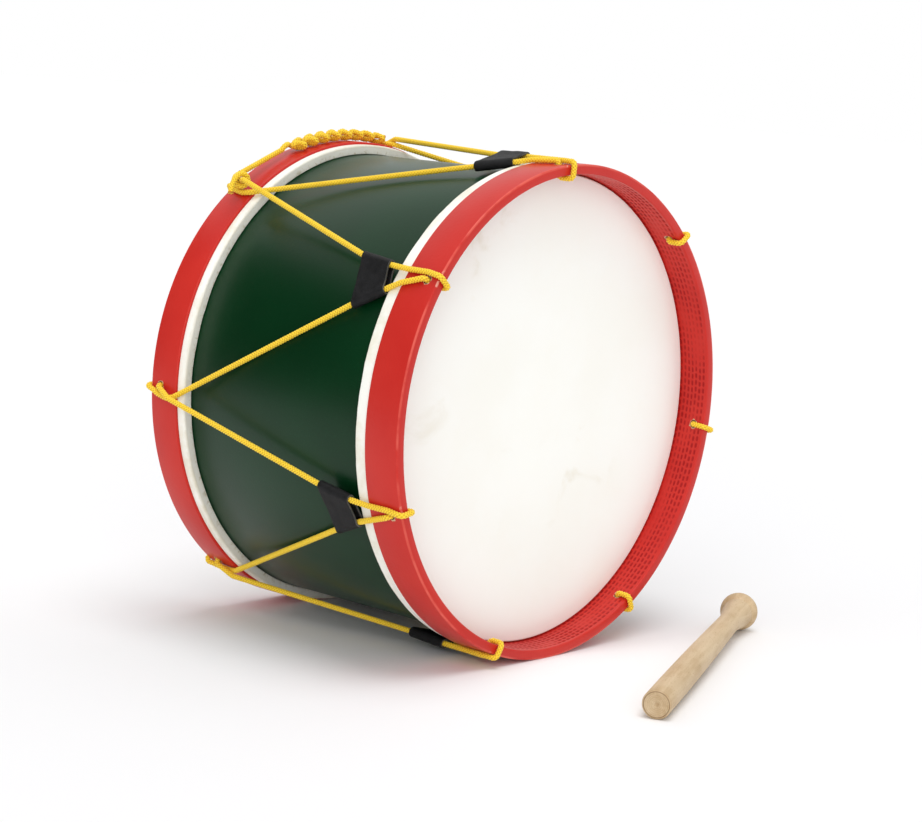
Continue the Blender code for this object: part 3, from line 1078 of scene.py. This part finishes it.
def lace(k):
    """The three pieces of one V, each laid between the drum and its tug."""
    tip, along, side, _ = tug_frame(k)
    front_mouth = tip + along * TUG_FRONT
    rear_mouth = tip + along * (TUG_FRONT + TUG_LENGTH)
    inside = tip + along * (TUG_FRONT + MEET * TUG_LENGTH)
    half_front, half_rear = side * TUG_FRONT_SPACING / 2, side * TUG_REAR_SPACING / 2
    half_inside = half_front + (half_rear - half_front) * MEET
    gap = along * MEET_GAP
    loop = [inside - half_inside, front_mouth - half_front] + front_loop(k)
    loop += [front_mouth + half_front, inside + half_inside]
    leaving = leaving_strand(k) + [rear_mouth - half_rear, inside - half_inside + gap]
    arriving = [inside + half_inside + gap, rear_mouth + half_rear] + arriving_strand(k + 1)
    loop_start = in_place(front_point(FRONT_ANGLES[k], 0, HOLE_INSET + LOOP_FIXED, RIDE))
    leg_end = in_place(tip + along * (DRUM_LENGTH - HOOP_WIDTH - REAR_HOOP_WIDTH - LEG_FIXED))
    front_mouth, rear_mouth = in_place(front_mouth), in_place(rear_mouth)
    tug = f"tug_{k + 1}"
    runs = (
        ("front_loop", loop, "drum", tug, loop_start, front_mouth),
        ("leaving_leg", leaving, tug, "drum", rear_mouth, leg_end),
        ("arriving_leg", arriving, tug, "drum", rear_mouth, leg_end),
    )
    for label, corners, first, second, begin_at, end_at in runs:
        piece = lay_rope(f"{label}_{k + 1}", corners)
        dress(piece, None, "yellow_rope", [yellow], f"rope_stay_{k + 1}")
        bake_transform(piece)


for k in range(HOLES):
    lace(k)

# %% [markdown]
# ## Chain of slip loops
#
# The spare rope is shortened into a chain of slip loops along the rear hoop, each loop pulled
# through the one before. Every stitch is the same, so it isn't placed point by point: one stitch
# is a sum of a few waves along, across and up, and `on_chain` lays it along the hoop.

# %% Chain stitch
CHAIN_LINKS = 8
LINK_STEPS = 60
LINK_UNIT = 0.0040
LINK_PITCH = 3.0
LINK_LOWEST = -0.79
LINK_START = pi / 6
CHAIN_START_ANGLE = 112.0
CHAIN_DEPTH = 0.0125


def stitch(turn):
    along = LINK_PITCH * turn / (2 * pi) - 1.43 * cos(turn)
    across = 0.6 * sin(2 * turn) - 1.24 * sin(turn) - 0.3 * sin(3 * turn)
    up = 0.33 * cos(turn) - 0.4 * cos(2 * turn) - 0.06 * cos(4 * turn)
    return along, across, up


def on_chain(along, across, up):
    base = HOOP_R + GAP + ROPE_R - LINK_LOWEST * LINK_UNIT
    angle = CHAIN_START_ANGLE - degrees(along * LINK_UNIT / base)
    return polar(angle, base + up * LINK_UNIT, REAR + CHAIN_DEPTH + across * LINK_UNIT)


links = [
    on_chain(*stitch(2 * pi * step / LINK_STEPS + LINK_START))
    for step in range(CHAIN_LINKS * LINK_STEPS + 1)
]
print(CHAIN_LINKS, "slip loops in", len(links), "points")

# %% [markdown]
# ## Knot
#
# The rope is locked by a hitch that wraps twice round the strand leaving its last hole and ends
# in a short tail. The wraps are a helix round that strand, which is the simplest line that looks
# like the hitch. The chain starts where the knot's line does.

# %% Knot
KNOT_TURNS = 2
KNOT_PITCH = 0.0046
KNOT_STEPS = 40
KNOT_START = 0.0052
KNOT_R = 2 * ROPE_R + 0.0004
KNOT_LEAD = 0.004
KNOT_TAIL = 0.015
KNOT_TAIL_DROP = 0.0075
KNOT_TAIL_STEPS = 12


def knot_line(chain_start):
    _, first, last = leaving_strand(KNOT_HOLE)
    axis = (last - first).normalized()
    radial = Vector((first.x, first.y, 0)).normalized()
    out = (radial - axis * axis.dot(radial)).normalized()
    beside = axis.cross(out)
    line = []
    for step in range(KNOT_TURNS * KNOT_STEPS + 1):
        turn = 2 * pi * step / KNOT_STEPS
        middle = first + axis * (KNOT_START + KNOT_PITCH * step / KNOT_STEPS)
        line.append(middle + KNOT_R * (out * cos(turn) + beside * sin(turn)))
    line.insert(0, line[0] + (chain_start - line[0]).normalized() * KNOT_LEAD)
    heading = (beside + axis * 0.5).normalized()
    end = line[-1]
    for step in range(1, KNOT_TAIL_STEPS + 1):
        part = step / KNOT_TAIL_STEPS
        line.append(end + heading * KNOT_TAIL * part - out * KNOT_TAIL_DROP * part * part)
    return line


# %% Lay the chain and the knot
knot = knot_line(links[0])
past_last = on_chain(CHAIN_LINKS * LINK_PITCH + 0.6, -0.1, 0.4)
tuck = rear_point(rear_angle(0), 0.0068, 0.0135, RIDE + 0.0046)
after = rounded([links[-1], past_last, tuck], ROPE_BEND, BEND_STEPS)
chain = braided("rope_sennit", [in_place(point) for point in knot[:1] + links + after[1:]])
dress(chain, "drum", "yellow_rope", [yellow], "rope_chain")
hitch = braided("rope_hitch", [in_place(point) for point in knot])
dress(hitch, "drum", "yellow_rope", [yellow], "rope_knot")
print("rope in all, metres:", round(sum(rope_metres), 3))

# %% [markdown]
# ## Leather
#
# The tugs are black hide with a fine pebbled grain, which is cells with thin valleys between
# them. The same recipe in greyer tones is the raw cut edge, where the dye hasn't soaked in.

# %% Leather material
def leather(name, dark, light, relief_depth):
    material = begin(name)
    place = object_place()
    settings = {"feature": "DISTANCE_TO_EDGE"}
    cells = Wire.node("ShaderNodeTexVoronoi", settings, {"Vector": place, "Scale": 900})
    cloud = noise_at(place, 150, 4, 0.6)
    height = cells.ramp(0.0, 0.3) + cloud * 0.8
    return coat(
        material, Base_Color=mix(cloud.ramp(0.3, 0.75), dark, light),
        Roughness=0.55 + cloud * 0.15, Normal=bumps(height, 0.45, relief_depth),
        Specular_IOR_Level=0.25,
    )


tug_leather = leather("black_leather", srgb(14, 14, 15), srgb(28, 28, 30), 0.0003)
cut_leather = leather("cut_leather", srgb(58, 59, 57), srgb(92, 93, 90), 0.0004)

# %% [markdown]
# ## Tug shape
#
# A tug is a strip of leather folded into a flat sleeve round two strands, narrow in front and
# wide behind. It could be two plates with rounded ends, but a folded strip has no seam there. So
# it starts as an open tube, is divided along its length, and its points are moved to the
# sleeve's section: a round fold at each strand and two flat sides that sag a little between.

# %% Sleeve section
LEATHER = 0.0014
SLEEVE_R = ROPE_R + GAP
SLEEVE_SAG = 0.0005


def sleeve_section(turn, x):
    """A point of the sleeve's inner side, by how far round it lies and how far along."""
    share = x / TUG_LENGTH + 0.5
    half = (TUG_FRONT_SPACING + (TUG_REAR_SPACING - TUG_FRONT_SPACING) * share) / 2
    flat, fold = 2 * half, pi * SLEEVE_R
    walk = (turn / (2 * pi)) % 1.0 * (2 * flat + 2 * fold)
    sign = 1
    if walk >= fold + flat:
        walk -= fold + flat
        sign = -1
    if walk < fold:
        bend = walk / SLEEVE_R - pi / 2
        across, up = half + SLEEVE_R * cos(bend), SLEEVE_R * sin(bend)
    else:
        walk -= fold
        across, up = half - walk, SLEEVE_R - SLEEVE_SAG * sin(pi * walk / flat)
    return sign * across, sign * up


# %% [markdown]
# ## Seven tugs
#
# Each sleeve is made lying along X, bulged a little by noise so that no two are the same, and
# then laid on its own V. Solidify gives the leather its thickness and puts the paler finish on
# the rim it makes, which is the cut edge.

# %% Tugs
TUG_SIDES = 64
TUG_CUTS = 17
TUBE_R = 0.01
SEAM_TURN = 0.02
BULGE = 0.00025
TRIM = 0.0006
CUT_ROUND, CUT_SHARP = 0.00022, 0.9


def tug(k):
    name = f"leather_tug_{k + 1}"
    piece = open_tube(name, TUG_SIDES, TUBE_R, TUG_LENGTH, (0, 0, 0), (0, pi / 2, 0))
    ends = points_of(piece)[:, 0]
    pick(piece, "EDGE", lambda edge: ends[edge.vertices[0]] * ends[edge.vertices[1]] < 0)
    bpy.ops.mesh.subdivide_edgering(number_cuts=TUG_CUTS, interpolation="LINEAR")
    leave()
    places = points_of(piece)
    for number, (x, y, z) in enumerate(places):
        across, up = sleeve_section(atan2(z, y) + SEAM_TURN, x)
        bulge = BULGE * noise.noise(Vector((x * 160, across * 160, k * 3.7 + up * 90)))
        trim = TRIM * noise.noise(Vector((across * 90, up * 90, k)))
        places[number] = (x + trim, across, up + bulge)
    move_points(piece, places)
    pick_all(piece)
    bpy.ops.mesh.normals_make_consistent(inside=False)
    leave()
    piece.data.materials.append(tug_leather)
    piece.data.materials.append(cut_leather)
    apply_modifier(piece, "SOLIDIFY", thickness=LEATHER, offset=1, material_offset_rim=1)
    round_edges(piece, CUT_ROUND, 2, CUT_SHARP)
    tip, along, side, out = tug_frame(k)
    middle = tip + along * (TUG_FRONT + TUG_LENGTH / 2)
    columns = [in_place(v) - in_place((0, 0, 0)) for v in (along, side, out)]
    turned = Matrix(columns).transposed().to_4x4()
    piece.matrix_world = Matrix.Translation(in_place(middle)) @ turned
    settle(piece)
    smooth(piece)
    dress(piece, f"tug_{k + 1}", "black_leather", [], f"tug_{k + 1}")


for k in range(HOLES):
    tug(k)

# %% [markdown]
# ## Beater shape
#
# The beater is one piece of turned beech: a plain handle that swells to a round knob. Its near
# end has a fine groove near the edge and a dimple from the lathe's centre. All of that is in the
# profile that is spun, from the knob's crown down to the dimple, as the turner's tool goes.

# %% Beater shape
BEATER_END = Vector((-0.0657, -0.1581, 0.010))
BEATER_KNOB = Vector((0.1987, -0.0410, 0.0144))
BEATER_STEPS = 96
END_R = 0.010
NECK_R = 0.0082
KNOB_R = 0.0144
KNOB_HALF = KNOB_R * 0.72
KNOB_STEPS, KNOB_DEGREES = 32, 4
NECK_AT, NECK_STEPS = 0.80, 20
HANDLE_AT, HANDLE_STEPS = 0.15, 24
END_ROUND = [(0.0, 0.0014), (0.0002, 0.0007), (0.0007, 0.0002), (0.0011, 0.0)]
GROOVE = [(0.0013, 0.0004), (0.0016, 0.0001), (0.0026, 0.0)]
DIMPLE = [
    (0.0062, 0.00025), (0.0045, 0.0004), (0.0036, 0.0006), (0.0028, 0.0005),
    (0.0017, 0.0006), (0.001, 0.0012), (0.0005, 0.0018), (0.0, 0.002),
]


def beater_profile(length):
    """Pairs of radius and distance from the near end, from the knob's crown to the dimple."""
    points = []
    for step in range(KNOB_STEPS + 1):
        turn = radians(90 - step * KNOB_DEGREES)
        height = length - KNOB_HALF + KNOB_HALF * sin(turn)
        points.append((max(0.0, KNOB_R * cos(turn)), height))
    shoulder_r, shoulder = points[-1]
    neck, handle = length * NECK_AT, length * HANDLE_AT
    for step in range(1, NECK_STEPS + 1):
        part = step / NECK_STEPS
        ease = part * part * (3 - 2 * part)
        radius = shoulder_r + (NECK_R - shoulder_r) * sin(ease * pi / 2)
        points.append((radius, shoulder + (neck - shoulder) * part))
    for step in range(1, HANDLE_STEPS + 1):
        part = step / HANDLE_STEPS
        radius = NECK_R + (END_R - NECK_R) * sin(part * pi / 2)
        points.append((radius, neck + (handle - neck) * part))
    return points + [(END_R - cut, depth) for cut, depth in END_ROUND + GROOVE] + DIMPLE


# %% [markdown]
# ## Beech
#
# Beech is pale and even, with short darker flecks along its grain. The grain has to run along
# the handle, so a Mapping node turns the place to the beater's own direction, and the noise is
# stretched that way. The lathe has left faint rings on the end, and its groove and dimple are
# darker.

# %% Beech material
BEECH_TONES = srgb(182, 153, 112), srgb(202, 177, 140)
BEECH_PALE = srgb(212, 190, 156)
BEECH_FLECK = srgb(158, 122, 80)
BEECH_DARK = srgb(120, 84, 48)
END_AT = 0.0016, 0.0008
GROOVE_R = 0.0087
GROOVE_AT = 0.0005, 0.0001
DIMPLE_AT = 0.0012, 0.0005
RING_WAVE = 5200


def end_marks(grain, direction):
    """The groove, the dimple and the lathe's rings on the near end."""
    from_end = vectors("SUBTRACT", object_place(), BEATER_END)
    along = vectors("DOT_PRODUCT", from_end, direction, "Value")
    reach = vectors("LENGTH", from_end, None, "Value")
    radius = (reach * reach - along * along).math("MAXIMUM", 0.0).math("SQRT")
    groove = (radius - GROOVE_R).math("ABSOLUTE").ramp(*GROOVE_AT)
    dimple = radius.ramp(*DIMPLE_AT)
    rings = (radius * RING_WAVE + grain * 2).math("SINE").ramp(0.2, 1.0) * 0.3
    return along.ramp(*END_AT) * groove.math("MAXIMUM", dimple).math("MAXIMUM", rings)


def beech():
    material = begin("turned_beech")
    direction = (BEATER_KNOB - BEATER_END).normalized()
    turn = direction.to_track_quat("X", "Z").inverted().to_euler()
    place = Wire.node("ShaderNodeMapping", None, {"Vector": object_place(), "Rotation": turn})
    grain = noise_at(vectors("MULTIPLY", place, (0.08, 1, 1)), 260, 4, 0.6, 0.3)
    flecks = noise_at(vectors("MULTIPLY", place, (0.22, 1, 1)), 1300, 2)
    tone = mix(grain.ramp(0.3, 0.7), *BEECH_TONES)
    pale = mix(noise_at(place, 24, 2).ramp(0.4, 0.65) * 0.5, tone, BEECH_PALE)
    flecked = mix(flecks.ramp(0.6, 0.72) * 0.45, pale, BEECH_FLECK)
    return coat(
        material, Base_Color=mix(end_marks(grain, direction) * 0.6, flecked, BEECH_DARK),
        Roughness=0.5 + grain * 0.12, Normal=bumps(flecks + grain, 0.15, 0.0003),
    )


# %% Turn the beater
run = BEATER_KNOB - BEATER_END
beater_length = run.length + KNOB_HALF
side = run.cross(Vector((0, 0, 1)))
profile = beater_profile(beater_length)
beater = spun("turned_beater", profile, BEATER_STEPS, BEATER_END, run, side)
smooth(beater)
dress(beater, "beater", "beech", [beech()], "beater")
print("beater length, metres:", round(beater_length, 4))

# %% [markdown]
# ## Floor
#
# The drum lies on a seamless white floor. One wide plane is enough, because the background
# behind it is as white and no edge shows. It has no gloss, so only the drum's shadow marks it.

# %% Floor
def add_plane(name, size, place):
    select_none()
    bpy.ops.mesh.primitive_plane_add(size=size, location=place)
    return named(name)


FLOOR_SIZE = 80
FLOOR_COLOUR = (0.91, 0.91, 0.92, 1)
floor = add_plane("floor", FLOOR_SIZE, (0, 0, 0))
floor.data.materials.append(coat(
    begin("pale_floor"), Base_Color=FLOOR_COLOUR, Roughness=0.6, Specular_IOR_Level=0.0,
))
floor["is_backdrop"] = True

# %% [markdown]
# ## Background
#
# The camera and reflections see a pure white background. The drum is lit by a weaker one, which
# doesn't wash out the shadows. A Light Path node tells the two apart.

# %% World
BACKGROUND = 1.0
WORLD_LIGHT = 0.62
world = bpy.data.worlds.new("studio")
scene.world = world
world.use_nodes = True
Wire.tree = world.node_tree
rays = ("Is Camera Ray", "Is Glossy Ray", "Is Transmission Ray")
paths = [Wire.node("ShaderNodeLightPath", None, None, ray) for ray in rays]
shown = paths[0].math("MAXIMUM", paths[1]).math("MAXIMUM", paths[2])
strength = shown * (BACKGROUND - WORLD_LIGHT) + WORLD_LIGHT
sky = Wire.tree.nodes["Background"]
Wire.tree.links.new(strength.socket, sky.inputs["Strength"])
sky.inputs["Color"].default_value = (1, 1, 1, 1)

# %% [markdown]
# ## Lamps
#
# Two wide soft suns stand for the big light overhead and the fill from the left. Area lamps would
# light the floor near them more than the floor far off, and a sun lights it evenly all over.


# %% Suns
def sun(name, strength, towards, softness):
    """towards is where its light goes, and softness is its width in degrees."""
    lamp = add_object(name, bpy.data.lights.new(name, "SUN"))
    lamp.data.energy = strength
    lamp.data.angle = radians(softness)
    lamp.rotation_mode = "QUATERNION"
    lamp.rotation_quaternion = Vector(towards).to_track_quat("-Z", "Y")
    print(name, "strength", strength)


sun("overhead", 1.25, (0.05, 0.15, -1), 40)
sun("left_fill", 0.9, (0.75, 0.6, -0.35), 50)

# %% [markdown]
# ## Dark panel
#
# A photographer hangs black cloth beside a glossy thing to keep its colour deep. This panel to
# the left does that for the middle of the green shell. It is only seen in reflections.

# %% Dark panel
PANEL_PLACE = Vector((-1.25, 1.05, 0.80))
PANEL_SIZE = 6.0, 1.56
panel = add_plane("dark_panel", 1, PANEL_PLACE)
panel.scale = (*PANEL_SIZE, 1)
panel.rotation_euler = (radians(90), 0, atan2(-PANEL_PLACE.x, PANEL_PLACE.y))
panel.data.materials.append(coat(
    begin("panel_black"), Base_Color=(0.004, 0.004, 0.004, 1), Roughness=0.9,
    Specular_IOR_Level=0.0,
))
panel.visible_camera = False
panel.visible_diffuse = False
panel.visible_shadow = False
panel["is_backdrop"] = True

# %% [markdown]
# ## Finish
#
# The box of the dressed drum is printed, as the box of the solids was after loading.

# %% Write the sizes and finish
dressed_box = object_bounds()
show_box("dressed", dressed_box)
